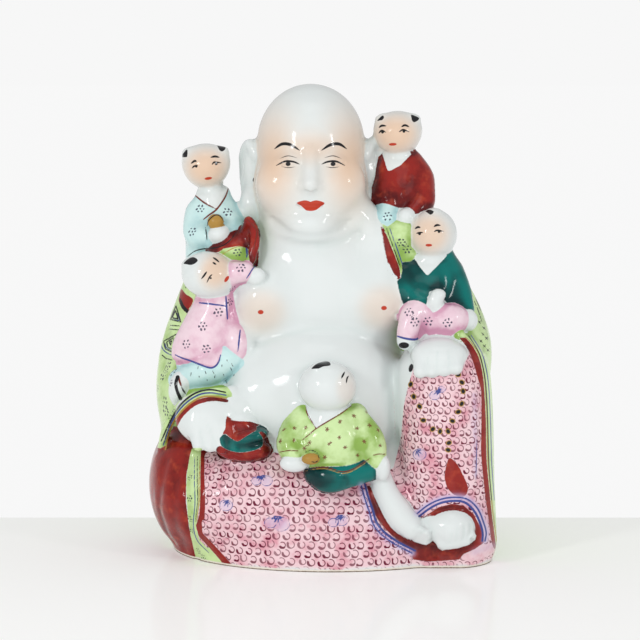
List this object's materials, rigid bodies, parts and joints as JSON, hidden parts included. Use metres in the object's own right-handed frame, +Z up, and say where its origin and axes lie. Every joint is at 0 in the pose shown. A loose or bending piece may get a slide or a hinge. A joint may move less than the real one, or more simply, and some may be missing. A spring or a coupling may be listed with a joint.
{
  "type": "budai figure",
  "caption": "Glazed porcelain figure of a seated laughing monk with a cloth sack and small children climbing on him, on a flat foot.",
  "frame": {"origin": "on the flat underside, below the middle of the figure's width and near the middle of its depth", "axes": "+Z up, +Y from the figure's face towards its back, +X to the right as seen from the front"},
  "size_m": [0.1856, 0.1395, 0.25],
  "materials": {
    "glazed_porcelain": "glossy"
  },
  "bodies": {
    "root": {"budai_figure": "glazed_porcelain"}
  },
  "joints": []
}
